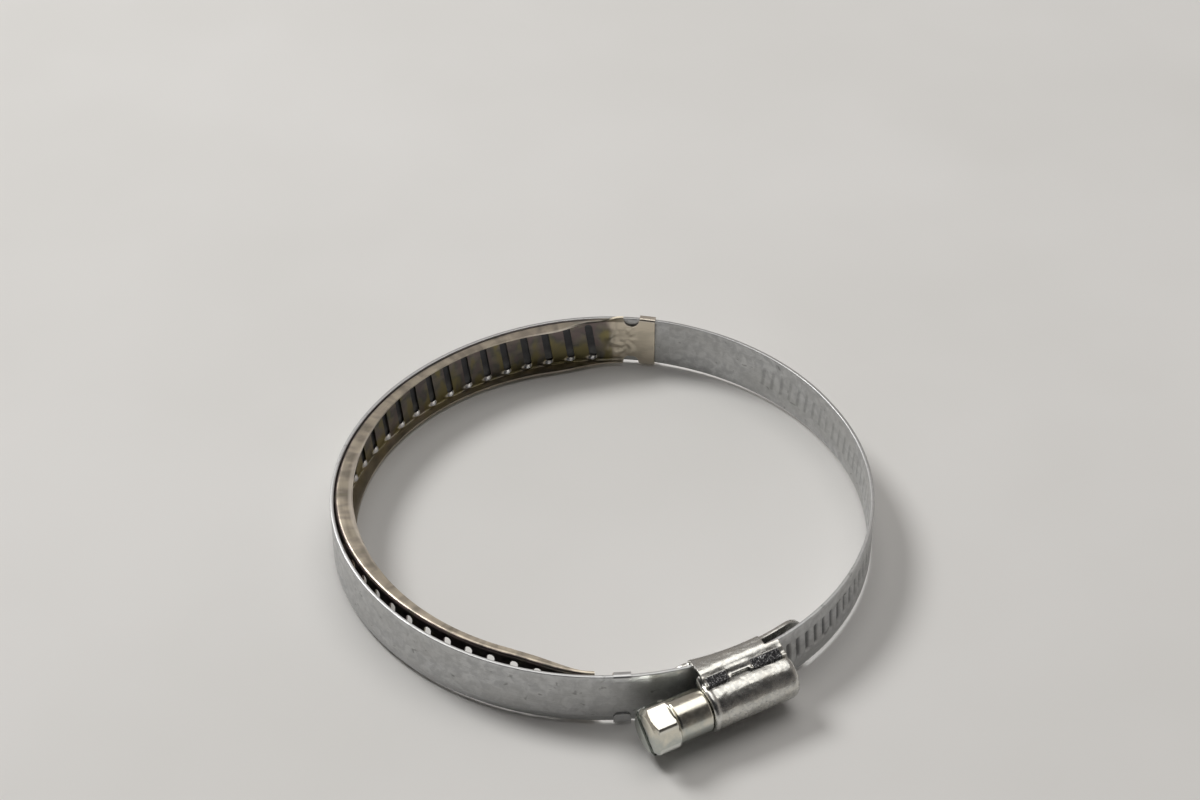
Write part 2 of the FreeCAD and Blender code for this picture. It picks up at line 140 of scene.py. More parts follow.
# Housing and screw, in a frame centred on the tail's arc: x along the screw, d outwards
LEAN = math.radians(2.0)
SCREW_OFFSET = 45.0
SHELL_LEFT, SHELL_RIGHT = -8.9, 5.9
SHELL_T = 0.7
DOME_R = 3.68
DOME_SWELL = 0.06
DOME_CORNER = 1.15
DOME_ARC_STEPS, DOME_CORNER_STEPS = 32, 12
WALL_LEFT, WALL_RIGHT, HEM_RIGHT = -8.4, 3.0, 5.3
WALL_STEP, LEAF_STEP = 0.16, 0.3
SADDLE_MID_R = 41.5
SADDLE_T = 0.58
LEAF_LEFT, LEAF_RIGHT = -12.3, 12.15
LEAF_HALF, LEAF_WALL_HALF, LEAF_ROUND = 4.3, 4.42, 4.0
WALL_BEND = 0.48
WALL_Z = LEAF_WALL_HALF + WALL_BEND
HEM_BASE_D, HEM_BASE_Z, HEM_TIP_Z = 43.15, 4.5, 3.93
HEM_REACH = 1.15
HEM_STEP_D, HEM_TOOTH_D = 44.3, 44.82
HEM_STEP_LEFT, HEM_STEP_RIGHT, HEM_STEP_SLOPE = -4.2, -0.75, 0.3
STAKE_DEPTH, STAKE_GRIT = 0.1, 0.13

# Screw
HEX_LEFT, HEX_RIGHT = -18.8, -14.6
HEX_APOTHEM = 3.5
HEX_TURN = 15
HEX_CORNER_CUT = 0.1
FACE_R, FACE_RISE, CHAMFER = 3.05, 1.05, 0.75
RUBBED_R = 3.72
COLLAR_R = 3.4
SHOULDER_R, SHOULDER_GROOVE_R = 3.74, 3.15
NECK_R = 2.0
THREAD_R, ROOT_R = 2.75, 2.2
THREAD_LEFT, THREAD_RIGHT, CORE_RIGHT = -6.5, 4.5, 5.0
THREAD_FADE = 0.6
CREST_HALF, FLANK_FOOT = 0.25, 0.56
SCREW_SIDES = 120
DRIVER_BOX = (5.4, 14.0, 1.1)
DRIVER_TURN = math.radians(40)
LIT_SIDE = math.radians(100)

# The slot at which each loop section meets the next, and the tail's joints
JOINT_SLOTS = [1, 6, 11, 16, 21, 26, 31]
TAIL_JOINTS = [318.0, 346.0, 374.0]

# One unit of the strip coordinates, in mm
STRIP_UNIT = 10


def smooth(t):
    t = min(1.0, max(0.0, t))
    return t * t * (3 - 2 * t)


def between(low, high, value):
    """A smooth step from 0 at low to 1 at high."""
    return smooth((value - low) / (high - low))


def lerp(a, b, t):
    return a + (b - a) * t


def spaced(a, b, step):
    """Even values from a to b, no further apart than the step."""
    count = max(1, math.ceil(abs(b - a) / step))
    return [a + (b - a) * i / count for i in range(count + 1)]


def flattening(azimuth):
    """How far the loop stands inside a true circle, in mm."""
    reach = FLAT_MIDDLE - FLAT_START if azimuth < FLAT_MIDDLE else FLAT_END - FLAT_MIDDLE
    t = min(1.0, abs(azimuth - FLAT_MIDDLE) / reach)
    return FLAT_DEPTH * math.cos(math.pi / 2 * t) ** 2


def polar(radius, azimuth, z, lift=0.0):
    """A point at an azimuth about the hoop's centre, or about a centre that much lower."""
    a = math.radians(azimuth)
    return Vector((radius * math.cos(a), radius * math.sin(a) - lift, z))


def housing_point(x, d, z):
    """A point of the housing frame in the part's own frame, in mm."""
    c, s = math.cos(LEAN), math.sin(LEAN)
    return Vector((x * c + d * s, x * s - d * c - TAIL_LIFT, z))


# Meshes ---------------------------------------------------------------------

class Sheet:
    """Collects quads with strip coordinates and painted masks, in mm: one for pressed marks,
    dirt, painted shade and painted light, one for wear, painted sheen and painted glints.
    """

    def __init__(self):
        self.points = []
        self.coords = []
        self.press_and_shade = []
        self.wear_and_sheen = []
        self.faces = []

    def add(self, point, u=0.0, v=0.0, press_and_shade=0.0, wear_and_sheen=0.0):
        self.points.append(point * MM)
        self.coords.append((u / STRIP_UNIT, v / STRIP_UNIT))
        self.press_and_shade.append(press_and_shade)
        self.wear_and_sheen.append(wear_and_sheen)
        return len(self.points) - 1

    def grid(self, rows, closed=False):
        """Quads between neighbouring rows, each row a ring if closed."""
        for first, second in zip(rows, rows[1:]):
            count = len(first)
            last = count if closed else count - 1
            for i in range(last):
                j = (i + 1) % count
                self.faces.append((first[i], first[j], second[j], second[i]))

    def build(self, name, merge=0.0005, sharp=38.0):
        """Make the object, with its strip coordinates and both masks."""
        mesh = bpy.data.meshes.new(name)
        mesh.from_pydata(self.points, [], self.faces)
        layer = mesh.uv_layers.new(name="strip")
        for loop in mesh.loops:
            layer.data[loop.index].uv = self.coords[loop.vertex_index]
        for label, values in (("press_and_shade", self.press_and_shade), ("wear_and_sheen", self.wear_and_sheen)):
            attribute = mesh.attributes.new(label, "FLOAT", "POINT")
            attribute.data.foreach_set("value", values)
        piece = bpy.data.objects.new(name, mesh)
        bpy.context.scene.collection.objects.link(piece)
        tidy(piece, merge, sharp)
        return piece


def tidy(piece, merge=0.0, sharp=38.0):
    """Merge coincident points, turn the faces outwards and mark the sharp edges."""
    work = bmesh.new()
    work.from_mesh(piece.data)
    if merge:
        bmesh.ops.remove_doubles(work, verts=work.verts, dist=merge * MM)
    bmesh.ops.recalc_face_normals(work, faces=work.faces)
    limit = math.radians(sharp)
    for face in work.faces:
        face.smooth = True
    for edge in work.edges:
        edge.smooth = len(edge.link_faces) == 2 and edge.calc_face_angle(0) < limit
    work.to_mesh(piece.data)
    work.free()


def apply_modifiers(piece):
    """Replace the mesh with what its modifiers make of it."""
    graph = bpy.context.evaluated_depsgraph_get()
    final = bpy.data.meshes.new_from_object(piece.evaluated_get(graph), depsgraph=graph)
    piece.modifiers.clear()
    old = piece.data
    piece.data = final
    final.name = piece.name
    bpy.data.meshes.remove(old)


def thicken(piece, thickness, offset=0.0, bevel=0.0):
    """Turn a sheet into a plate, with its edges rounded if a bevel is given."""
    solid = piece.modifiers.new("thickness", "SOLIDIFY")
    solid.thickness = thickness * MM
    solid.offset = offset
    solid.use_even_offset = True
    if bevel:
        soft = piece.modifiers.new("edges", "BEVEL")
        soft.width = bevel * MM
        soft.segments = 2
        soft.limit_method = "ANGLE"
        soft.angle_limit = math.radians(50)
    apply_modifiers(piece)
    tidy(piece)


# Band -----------------------------------------------------------------------

def groove(distance, z):
    """1 on the floor of a pressed thread groove, 0 on the land."""
    phase = (distance + z * GROOVE_SLANT) % PITCH
    away = min(phase, PITCH - phase)
    across = 1 - between(GROOVE_FLOOR, GROOVE_LAND, away)
    along = 1 - between(GROOVE_HALF_LENGTH - 0.45, GROOVE_HALF_LENGTH + 0.1, abs(z))
    return across * along


def shade_behind_liner(azimuth, z):
    """Painted shade on the band's inner face behind the liner, darkest in its upper half."""
    share = between(LINER_SHADOW_FAR, LINER_SHADOW_FAR_FULL, azimuth)
    share *= 1 - between(LINER_SHADOW_NEAR_FULL, LINER_SHADOW_NEAR, azimuth)
    depth = lerp(LINER_SHADOW_LOW, 1.0, between(-3.2, 0.8, z))
    return share * depth * (1 - between(3.4, 4.0, abs(z)))


def band_outline(threaded):
    """Points (z, offset through the thickness, side) round the band's section.

    The side is 1 on the outer face, -1 on the inner face and 0 on the rounded edges.
    """
    half, mid, edge = BAND_HALF, BAND_THICKNESS / 2, BAND_EDGE
    if threaded:
        face = [-3.6, -3.0] + spaced(-2.5, 2.5, 0.25) + [3.0, 3.6]
    else:
        face = [-3.3, -2.0, -0.7, 0.7, 2.0, 3.3]
    corner = [(1 - math.cos(a), 1 - math.sin(a)) for a in
              [math.radians(18 * i) for i in range(5)]]
    outline = [(z, mid, 1) for z in face]
    outline += [(half - edge * q, mid - edge * p, 0) for p, q in corner]
    outline += [(half - edge * p, -mid + edge * q, 0) for p, q in corner]
    outline += [(z, -mid, -1) for z in reversed(face)]
    outline += [(-half + edge * q, -mid + edge * p, 0) for p, q in corner]
    outline += [(-half + edge * p, mid - edge * q, 0) for p, q in corner]
    return outline


def band_stations(a0, a1, threaded):
    """(radius shift, azimuth, lift, distance along the strip) for each cross-section."""
    stations = []
    step = THREADED_STEP if threaded else PLAIN_STEP
    for azimuth in spaced(a0, a1, step):
        along = math.radians(azimuth - GROOVE_FIRST) * MESH_R
        if threaded and azimuth <= 360.0 and a0 < 360.0:
            stations.append((0.0, azimuth, TAIL_LIFT, along))
        if threaded and azimuth >= 360.0:
            stations.append((0.0, azimuth, 0.0, along + TAIL_LIFT))
        if not threaded:
            stations.append((-flattening(azimuth), azimuth, 0.0, along))
    return stations


def corner_narrowing(azimuth):
    """How much the tail's rounded corners narrow each side."""
    reach = math.radians(azimuth - TAIL_END) * BAND_MID_R
    if reach >= TAIL_CORNER:
        return 0.0
    return TAIL_CORNER - math.sqrt(max(0.0, TAIL_CORNER ** 2 - (TAIL_CORNER - reach) ** 2))


def band_strip(name, a0, a1, threaded=False):
    """One closed length of band between two azimuths."""
    sheet = Sheet()
    outline = band_outline(threaded)
    rows = []
    for shift, azimuth, lift, along in band_stations(a0, a1, threaded):
        width = 1.0
        if threaded:
            width = 1 - corner_narrowing(azimuth) / BAND_HALF
        row = []
        around = 0.0
        last = outline[0]
        for z, offset, side in outline:
            around += math.hypot(z - last[0], offset - last[1])
            last = (z, offset)
            press_and_shade = 0.0
            if threaded and side and TAIL_END + GROOVE_FREE_END < azimuth < GROOVE_LAST:
                fade = 1 - between(GROOVE_LAST - GROOVE_FADE, GROOVE_LAST, azimuth)
                press_and_shade = groove(along, z * width) * fade
                offset -= (GROOVE_DEPTH if side > 0 else BACK_DEPTH) * press_and_shade
                # The groove floors, and the ticks they raise on the inner face, are darkened as
                # dirt and painted shade.
                press_and_shade *= GROOVE_SHADE_AND_DIRT if side > 0 else BACK_SHADE_AND_DIRT
            # Painted shade on the inner face where it lies behind the liner.
            if side < 0 and not threaded:
                press_and_shade = shade_behind_liner(azimuth, z)
            wear_and_sheen = 1.0 if side == 0 else 0.0
            radius = BAND_MID_R + shift + offset
            point = polar(radius, azimuth, z * width, lift)
            row.append(sheet.add(point, along, around, press_and_shade, wear_and_sheen))
        rows.append(row)
    sheet.grid(rows, closed=True)
    sheet.faces.append(tuple(rows[0]))
    sheet.faces.append(tuple(reversed(rows[-1])))
    return sheet.build(name, merge=0)


def slot_azimuth(slot):
    return SLOT_FIRST - SLOT_PITCH * slot


def section_middles():
    """Azimuths half way between one loop joint and the next."""
    joints = [slot_azimuth(k) for k in JOINT_SLOTS]
    middles = [(a + b) / 2 for a, b in zip(joints, joints[1:])]
    last = joints[-1] - (middles[-1] - joints[-1])
    return [NEAR_FLANGE + 0.8] + middles + [last]


def make_plain_band(metal):
    """Seven lengths, split half way between the loop joints."""
    middles = section_middles()
    for i in range(len(JOINT_SLOTS)):
        top = ANCHOR_END if i == 0 else middles[i]
        end = SEAM_AZ if i == len(JOINT_SLOTS) - 1 else middles[i + 1]
        piece = band_strip("band_%d" % (i + 1), top, end)
        finish_piece(piece, metal)
        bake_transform(piece)
        replaced = ["band_anchored_end"] if i == 0 else ["band_plain_%d" % i]
        if i == len(JOINT_SLOTS) - 1:
            replaced.append("band_plain_%d" % (i + 1))
        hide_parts(*replaced)


def make_threaded_band(metal):
    """The tail: three lengths, split half way between its joints."""
    half = (TAIL_JOINTS[1] - TAIL_JOINTS[0]) / 2
    middles = [TAIL_JOINTS[0] - half] + [joint + half for joint in TAIL_JOINTS]
    limits = [TAIL_END] + middles[1:3] + [360.0 + SEAM_AZ]
    nodes = [["band_threaded_tail"], ["band_threaded_1"],
             ["band_threaded_2", "band_threaded_3"]]
    for i in range(len(nodes)):
        piece = band_strip("thread_%d" % (i + 1), limits[i], limits[i + 1], threaded=True)
        finish_piece(piece, metal)
        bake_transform(piece)
        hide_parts(*nodes[i])


def finish_piece(piece, metal):
    piece.data.materials.clear()
    piece.data.materials.append(metal)


# Spring liner ---------------------------------------------------------------

def ramp(azimuth):
    """0 where the web lies on the band at the flat ends, 1 along the full channel."""
    if azimuth > NEAR_FULL:
        return smooth((NEAR_FLANGE - azimuth) / (NEAR_FLANGE - NEAR_FULL))
    if azimuth < FAR_FULL:
        return smooth((azimuth - FAR_FLANGE) / (FAR_FULL - FAR_FLANGE))
    return 1.0


def web_radius(azimuth):
    """Middle of the web's thickness."""
    away = between(WEB_TOUCH, WEB_NEAR, azimuth)
    full = lerp(WEB_GAP_FAR, WEB_GAP, away)
    inner = BAND_INNER_R - flattening(min(max(azimuth, FAR_FLANGE), NEAR_FLANGE))
    return inner - SEAT_GAP - (full - SEAT_GAP) * ramp(azimuth) - LINER_T / 2


def flange_length(azimuth, side):
    """Length from the web to the flange's tip, shortening towards both flat ends."""
    full = web_radius(azimuth) - FLANGE_INNER_R
    if azimuth > NEAR_FULL:
        return lerp(LINER_BEND, full, between(NEAR_FLANGE, NEAR_FULL - NEAR_LEAD, azimuth))
    start = FAR_UPPER_START if side > 0 else FAR_LOWER_START
    return lerp(start, full, between(FAR_FLANGE, FAR_FULL, azimuth))


def fold_angle(azimuth, side):
    """Angle by which the flange is folded in; the upper one stands up at the far end."""
    fold = 90.0
    if side > 0:
        fold -= LEAN_OUT * (1 - between(FAR_FLANGE + LEAN_LENGTH, FAR_FULL, azimuth))
        fold -= STAND_UP * (1 - between(FAR_FLANGE, FAR_FLANGE + STAND_LENGTH, azimuth))
    return math.radians(fold)


def liner_profile(azimuth, side):
    """(radius, z, distance across) from the web's upper side out to the flange tip."""
    web = web_radius(azimuth)
    fold = fold_angle(azimuth, side)
    base = BAND_HALF - LINER_T / 2 - LINER_BEND
    profile = [(web, lerp(WEB_FLAT, base, 0.5), WEB_FLAT)]
    for i in range(BEND_STEPS + 1):
        a = fold * i / BEND_STEPS
        profile.append((web - LINER_BEND * (1 - math.cos(a)), base + LINER_BEND * math.sin(a),
                        WEB_FLAT + BEND_STRIP * i))
    radius, z, across = profile[-1]
    length = max(0.1, flange_length(azimuth, side) - LINER_BEND)
    for i in range(1, FLANGE_STEPS + 1):
        out = length * i / FLANGE_STEPS
        profile.append((radius - out * math.sin(fold), z + out * math.cos(fold),
                        across + out))
    return profile


def crumple(azimuth, z):
    """Small creases where the channel was flattened at its far end, in mm."""
    share = between(FAR_FLANGE - 3.8, FAR_FLANGE - 1.0, azimuth)
    share *= 1 - between(FAR_FLANGE + 2.4, FAR_FLANGE + 5.0, azimuth)
    share *= 1 - between(3.2, 3.8, abs(z))
    return CREASE_DEPTH * share * abs(noise.noise(Vector((azimuth * 0.45, z * 0.62, 2.0))))


def slot_loop(count):
    """Points (along, z) round a slanted slot, from its lower left, up and over."""
    r = SLOT_WIDTH / 2
    h = SLOT_LENGTH / 2 - r
    points = [(-r, z) for z in [lerp(-h, h, i / count) for i in range(count)]]
    points += [(-r * math.cos(math.pi * i / count), h + r * math.sin(math.pi * i / count))
               for i in range(count)]
    points += [(r, -z) for z in [lerp(-h, h, i / count) for i in range(count)]]
    points += [(r * math.cos(math.pi * i / count), -h - r * math.sin(math.pi * i / count))
               for i in range(count)]
    slant = math.tan(math.radians(SLOT_SLANT))
    return [(x - z * slant, z) for x, z in points]


def cell_loop(count):
    """The same count of points round the cell that holds a slot."""
    half = math.radians(SLOT_PITCH / 2) * BAND_INNER_R
    up = [lerp(-WEB_FLAT, WEB_FLAT, i / count) for i in range(count)]
    side = [lerp(-half, half, i / count) for i in range(count)]
    points = [(-half, z) for z in up] + [(x, WEB_FLAT) for x in side]
    points += [(half, -z) for z in up] + [(-x, -WEB_FLAT) for x in side]
    return points


def web_shade(azimuth):
    """1 on the web, painted darker as painted shade under its heat tints, 0 towards the flat
    ends.
    """
    far = between(SHADE_FAR, SHADE_FAR_FULL, azimuth)
    return far * (1 - between(SHADE_NEAR_FULL, SHADE_NEAR, azimuth))


def add_slot_cell(sheet, middle):
    """The web around one slot, in rings (share of the way out, share of the ridge)."""
    inner, outer = slot_loop(CELL_COUNT), cell_loop(CELL_COUNT)
    rings = ((0.0, 0.0), (0.22, 0.45), (0.6, 1.0), (0.8, 0.7), (1.0, 0.0))
    rows = []
    for t, rise in rings:
        row = []
        for (x0, z0), (x1, z1) in zip(inner, outer):
            x, z = lerp(x0, x1, t), lerp(z0, z1, t)
            azimuth = middle - math.degrees(x / BAND_INNER_R)
            # Painted glint: the ridge below the slot's lower end is painted near white.
            tip = between(RIDGE_FROM, RIDGE_FULL, -z0)
            radius = web_radius(azimuth) - RIDGE_HEIGHT * rise * tip
            along = math.radians(azimuth) * BAND_INNER_R
            row.append(sheet.add(polar(radius, azimuth, z), along, z, web_shade(azimuth),
                                 GLINT * tip * (1 - between(0.3, 0.95, t))))
        rows.append(row)
    sheet.grid(rows, closed=True)


def add_web_strip(sheet, azimuths):
    """Plain web with no slot."""
    count = 3 * CELL_COUNT
    levels = [lerp(-WEB_FLAT, WEB_FLAT, i / count) for i in range(count + 1)]
    rows = []
    for azimuth in azimuths:
        along = math.radians(azimuth) * BAND_INNER_R
        rows.append([sheet.add(polar(web_radius(azimuth) - crumple(azimuth, z), azimuth, z),
                               along, z, web_shade(azimuth)) for z in levels])
    sheet.grid(rows)


def add_edges(sheet, azimuths):
    """The bend and flange on both sides."""
    for side, edge in ((1, UPPER_SHADE), (-1, LOWER_SHADE)):
        rows = []
        for azimuth in azimuths:
            along = math.radians(azimuth) * BAND_INNER_R
            web = web_radius(azimuth)
            shade = web_shade(azimuth)
            row = [sheet.add(polar(web, azimuth, side * WEB_FLAT), along, side * WEB_FLAT,
                             shade)]
            for radius, z, across in liner_profile(azimuth, side):
                tip = RUBBED * between(1.9, 2.7, across - WEB_FLAT)
                # Painted shade fading out along each flange to the share kept on it.
                dark = shade * lerp(1.0, edge, between(0.2, 0.8, across - WEB_FLAT))
                row.append(sheet.add(polar(radius, azimuth, side * z), along,
                                     side * across, dark, tip))
            rows.append(row)
        sheet.grid(rows)


def notch_depth(azimuth, flange, notch):
    """How deep the half-round notch cuts into the flat end at this azimuth."""
    middle = (flange + notch) / 2
    away = math.radians(abs(azimuth - middle)) * BAND_INNER_R
    if away >= NOTCH_R:
        return 0.0
    return math.sqrt(NOTCH_R ** 2 - away ** 2)


def add_flat_end(sheet, end, notch, flange):
    """The flat end with its two notches."""
    azimuths = spaced(flange, notch, 0.22) + spaced(notch, end, 0.6)[1:]
    for side in (1, -1):
        rows = []
        for azimuth in azimuths:
            along = math.radians(azimuth) * BAND_INNER_R
            top = BAND_HALF - notch_depth(azimuth, flange, notch)
            web = web_radius(azimuth)
            row = []
            for t in [i / 10 for i in range(10)] + [0.96, 1.0]:
                z = side * lerp(0.0, top, t)
                row.append(sheet.add(polar(web - crumple(azimuth, z), azimuth, z), along, z,
                                     0.0, RUBBED * between(0.9, 1.0, t)))
            rows.append(row)
        sheet.grid(rows)


def add_tabs(sheet, end, notch):
    """Rounded tabs folded from the flat end over both edges of the band."""
    seat = web_radius(end)
    over = BAND_OUTER_R + TAB_GAP + TAB_T / 2
    edge = BAND_HALF + TAB_GAP + TAB_T / 2
    middle = (end + notch) / 2
    half = abs(end - notch) / 2 - TAB_SIDE_GAP
    turns = [math.radians(30 * i) for i in range(4)]
    # The near tabs are bare grey, lightened as a painted highlight; the far tabs are rubbed.
    tab_wear_and_sheen = BARE_SHEEN if end == NEAR_END else RUBBED
    for side, lip in ((1, TAB_LIP_TOP), (-1, TAB_LIP_BOTTOM)):
        path = [(seat, BAND_HALF - 0.15)]
        path += [(seat + TAB_BEND * (1 - math.cos(a)), edge - TAB_BEND * (1 - math.sin(a)))
                 for a in turns]
        path += [(over - TAB_BEND * (1 - math.sin(a)), edge - TAB_BEND * (1 - math.cos(a)))
                 for a in turns]
        corner = min(TAB_CORNER, lip - TAB_BEND)
        sides = [(z, 0.0) for z in spaced(TAB_BEND, lip - corner, 0.3)[1:]]
        for a in [math.radians(15 * i) for i in range(1, 7)]:
            sides.append((lip - corner * (1 - math.sin(a)), corner * (1 - math.cos(a))))
        rows = []
        for t in (-1.0, -0.94, -0.75, -0.4, 0.0, 0.4, 0.75, 0.94, 1.0):
            row = []
            for index, (radius, z) in enumerate(path):
                azimuth = middle + half * t
                along = math.radians(azimuth) * BAND_INNER_R
                row.append(sheet.add(polar(radius, azimuth, side * z), along,
                                     side * (BAND_HALF + 0.2 * index), 0.0, tab_wear_and_sheen))
            for down, inset in sides:
                turn = half - math.degrees(inset / BAND_OUTER_R)
                azimuth = middle + turn * t
                along = math.radians(azimuth) * BAND_INNER_R
                # Painted shade on the tab's outer face.
                row.append(sheet.add(polar(over, azimuth, side * (edge - down)), along,
                                     side * (BAND_HALF + 1.5 + down), TAB_SHADE,
                                     tab_wear_and_sheen))
            rows.append(row)
        sheet.grid(rows)


def make_liner(metal):
    half = SLOT_PITCH / 2
    step = SLOT_PITCH / CELL_COUNT
    for i in range(len(JOINT_SLOTS)):
        sheet = Sheet()
        first = 0 if i == 0 else JOINT_SLOTS[i] - 2
        last = SLOT_COUNT - 1 if i == len(JOINT_SLOTS) - 1 else JOINT_SLOTS[i] + 2
        for slot in range(first, last + 1):
            middle = slot_azimuth(slot)
            add_slot_cell(sheet, middle)
            add_edges(sheet, [middle + half - step * j for j in range(CELL_COUNT + 1)])
        if i == 0:
            plain = spaced(NEAR_FLANGE, slot_azimuth(0) + half, 0.7)
            add_web_strip(sheet, plain)
            add_edges(sheet, plain)
            add_flat_end(sheet, NEAR_END, NEAR_NOTCH, NEAR_FLANGE)
            add_tabs(sheet, NEAR_END, NEAR_NOTCH)
        if i == len(JOINT_SLOTS) - 1:
            plain = spaced(slot_azimuth(SLOT_COUNT - 1) - half, FAR_FLANGE, 0.4)
            add_web_strip(sheet, plain)
            add_edges(sheet, plain)
            add_flat_end(sheet, FAR_END, FAR_NOTCH, FAR_FLANGE)
            add_tabs(sheet, FAR_END, FAR_NOTCH)
        piece = sheet.build("liner_%d" % (i + 1), merge=0.02)
        thicken(piece, LINER_T)
        finish_piece(piece, metal)
        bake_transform(piece)
        replaced = ["liner_near_end"] if i == 0 else ["liner_channel_%d" % i]
        if i == len(JOINT_SLOTS) - 1:
            replaced.append("liner_far_end")
        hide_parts(*replaced)


# Screw ----------------------------------------------------------------------

def hex_radius(angle):
    """Distance from the axis to a hexagon with slightly rounded corners."""
    turn = (math.degrees(angle) - HEX_TURN + 30) % 60 - 30
    flat = HEX_APOTHEM / math.cos(math.radians(turn - math.copysign(30, turn)))
    corner = HEX_APOTHEM / math.cos(math.radians(30)) - HEX_CORNER_CUT
    return min(flat, corner)


def screw_stations():
    """(x, radius function) down the screw from the head's face to the far end."""
    stations = []
    for t in (0.0, 0.45, 0.9):
        stations.append((HEX_LEFT + 0.02 * t, lambda a, q=t: FACE_R * q + 0.01))
    for i in range(13):
        t = i / 12
        limit = FACE_R + FACE_RISE * t
        stations.append((HEX_LEFT + 0.08 + CHAMFER * t,
                         lambda a, q=limit: min(hex_radius(a), q)))
    for x in spaced(HEX_LEFT + 1.0, HEX_RIGHT - 0.8, 0.6):
        stations.append((x, hex_radius))
    for x in spaced(HEX_RIGHT - 0.75, HEX_RIGHT, 0.05):
        stations.append((x, lambda a, q=x: shoulder_radius(q, a)))
    rounded = [(0.0, -0.25), (0.06, -0.13), (0.18, -0.04), (0.36, 0.0)]
    for out, inset in rounded:
        stations.append((HEX_RIGHT + out, lambda a, q=COLLAR_R + inset: q))
    right = SHELL_LEFT - 0.12
    for x in spaced(HEX_RIGHT + 0.5, right - 0.4, 0.7):
        stations.append((x, lambda a: COLLAR_R))
    for out, inset in reversed(rounded):
        stations.append((right - out, lambda a, q=COLLAR_R + inset: q))
    for x, radius in ((right, NECK_R), (SHELL_LEFT + 0.95, NECK_R), (SHELL_LEFT + 1.2, ROOT_R),
                      (THREAD_LEFT - 0.1, ROOT_R)):
        stations.append((x, lambda a, q=radius: q))
    for x in spaced(THREAD_LEFT, THREAD_RIGHT, 0.1):
        stations.append((x, lambda a, q=x: thread_radius(q, a)))
    for x, radius in ((THREAD_RIGHT + 0.1, ROOT_R), (CORE_RIGHT, 1.7), (CORE_RIGHT, 0.01)):
        stations.append((x, lambda a, q=radius: q))
    return stations


def shoulder_radius(x, angle):
    """The hexagon's end: corners turned away, and a ring that rises and drops."""
    to_end = HEX_RIGHT - x
    turned = 4.05 - 0.35 * between(0.6, 0.25, to_end)
    ring = lerp(COLLAR_R, SHOULDER_R, between(0.72, 0.3, to_end))
    radius = max(min(hex_radius(angle), turned), ring)
    return lerp(SHOULDER_GROOVE_R, radius, math.sqrt(between(0.0, 0.2, to_end)))


def thread_radius(x, angle):
    """The right-handed worm thread, fading out at both ends."""
    turn = (x - THREAD_LEFT - PITCH * angle / math.tau) % PITCH
    away = min(turn, PITCH - turn)
    ends = between(THREAD_LEFT, THREAD_LEFT + THREAD_FADE, x)
    ends *= 1 - between(THREAD_RIGHT - THREAD_FADE, THREAD_RIGHT, x)
    return lerp(ROOT_R, THREAD_R, ends * (1 - between(CREST_HALF, FLANK_FOOT, away)))


def make_screw(metal):
    sheet = Sheet()
    rows = []
    for x, radius in screw_stations():
        row = []
        for i in range(SCREW_SIDES):
            angle = math.tau * i / SCREW_SIDES
            r = radius(angle)
            wear_and_sheen = 1.0 if r > RUBBED_R and x < HEX_RIGHT else 0.0
            # Painted light: the upper side is painted lighter and creamier, the lower side
            # darker and greener as painted shade.
            tint = 0.5 + 0.5 * math.cos(angle - LIT_SIDE)
            point = housing_point(x, SCREW_OFFSET - r * math.cos(angle), r * math.sin(angle))
            row.append(sheet.add(point, x, r * angle, tint, wear_and_sheen))
        rows.append(row)
    sheet.grid(rows, closed=True)
    sheet.faces.append(tuple(rows[0]))
    sheet.faces.append(tuple(reversed(rows[-1])))
    piece = sheet.build("screw", merge=0)
    cut_driver_slot(piece)
    finish_piece(piece, metal)
    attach(piece, "screw")
    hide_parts("worm_screw")


def cut_driver_slot(piece):
    """Cut the slot across the head's face and soften the screw's sharp edges."""
    bpy.ops.mesh.primitive_cube_add(size=1)
    tool = bpy.context.object
    axis = Vector((math.cos(LEAN), math.sin(LEAN), 0))
    tool.scale = [side * MM for side in DRIVER_BOX]
    turn = Matrix.Rotation(DRIVER_TURN, 4, axis) @ Matrix.Rotation(LEAN, 4, "Z")
    tool.matrix_world = (Matrix.Translation(housing_point(HEX_LEFT - 1.0, SCREW_OFFSET, 0) * MM)
                         @ turn @ Matrix.Diagonal((*tool.scale, 1)))
    bpy.context.view_layer.update()
    cut = piece.modifiers.new("slot", "BOOLEAN")
    cut.operation = "DIFFERENCE"
    cut.solver = "EXACT"
    cut.object = tool
    soft = piece.modifiers.new("edges", "BEVEL")
    soft.width = 0.07 * MM
    soft.segments = 2
    soft.limit_method = "ANGLE"
    soft.angle_limit = math.radians(60)
    apply_modifiers(piece)
    bpy.data.objects.remove(tool)
    tidy(piece, sharp=32)


# Housing --------------------------------------------------------------------

def shell_profile(radius, bulge):
    """(z, d) across the dome from one flange tip to the other."""
    share = radius / DOME_R
    half = [(z * share, d) for z, d in ((4.42, 42.72), (4.25, 43.1), (3.95, 43.55))]
    half += [(radius + bulge * 0.5, d) for d in (43.9, 44.3, 44.7)]
    arc = []
    for i in range(DOME_ARC_STEPS + 1):
        a = math.pi * i / DOME_ARC_STEPS
        arc.append(((radius + bulge) * math.cos(a),
                    SCREW_OFFSET + (radius + bulge) * math.sin(a)))
    left = [(-z, d) for z, d in reversed(half)]
    return half + arc + left


